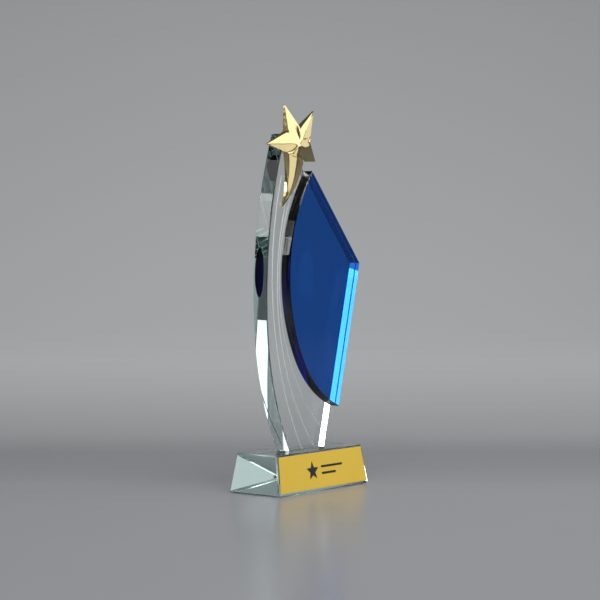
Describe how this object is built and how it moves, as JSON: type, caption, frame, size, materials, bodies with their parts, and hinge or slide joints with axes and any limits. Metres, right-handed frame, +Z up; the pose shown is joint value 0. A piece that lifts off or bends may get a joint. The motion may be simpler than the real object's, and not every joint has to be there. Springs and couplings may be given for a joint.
{
  "type": "star trophy",
  "caption": "Clear crystal award: a curved slab on a bevelled block, with a bonded blue wing, a faceted gold star with a long tail and a plain name plate.",
  "frame": {"origin": "middle of the base block's underside", "axes": "+Z up, -Y towards the front face with the name plate, +X to the right seen from the front"},
  "size_m": [0.1016, 0.0437, 0.2629],
  "materials": {
    "clear_crystal": "polished optical crystal with a faint green tint in its thick edges",
    "blue_crystal": "polished crystal, deep blue through its body",
    "bond": "cured clear ultraviolet adhesive",
    "gold_plate": "cast zinc alloy, polished and pale gold plated",
    "yellow_plate": "satin golden yellow coated aluminium",
    "tape": "double-sided tape",
    "black_ink": "satin black printing"
  },
  "bodies": {
    "root": {"base_block": "clear_crystal", "clear_panel": "clear_crystal", "blue_wing": "blue_crystal", "gold_star": "gold_plate", "name_plate": "yellow_plate", "plate_tape": "tape", "printed_star": "black_ink", "printed_rules": "black_ink", "foot_bond": "bond", "wing_bond": "bond", "star_bond": "bond"}
  },
  "joints": []
}
